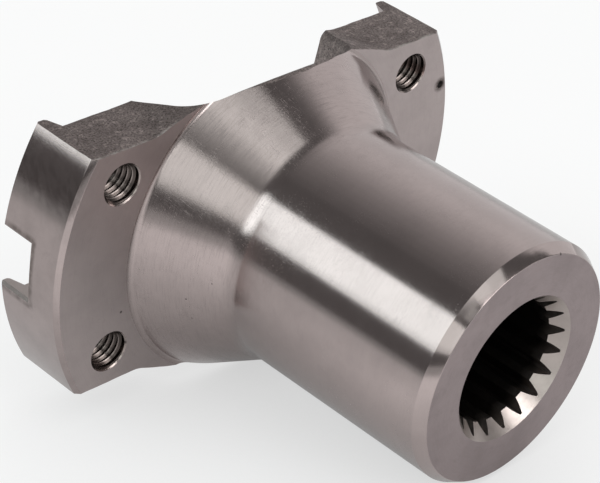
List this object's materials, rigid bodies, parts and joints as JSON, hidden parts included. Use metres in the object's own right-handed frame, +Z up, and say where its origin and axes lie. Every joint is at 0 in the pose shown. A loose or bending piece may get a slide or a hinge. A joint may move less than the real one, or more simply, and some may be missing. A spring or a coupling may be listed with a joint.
{
  "type": "splined end yoke",
  "caption": "Forged steel end yoke: a splined hub flares into a two-eared flange with tapped holes, keyed bearing seats and pilot lips for the bearing blocks of a driveline joint.",
  "frame": {"origin": "on the hub axis, in the plane of the ears' turned front faces", "axes": "+Y from the hub towards the bearing seats (the hub points along -Y); +X from the left ear to the right ear; +Z up"},
  "size_m": [0.1214, 0.0949, 0.0744],
  "materials": {
    "steel": "turned faces on a dark forged skin"
  },
  "bodies": {
    "root": {"yoke": "steel"}
  },
  "joints": []
}
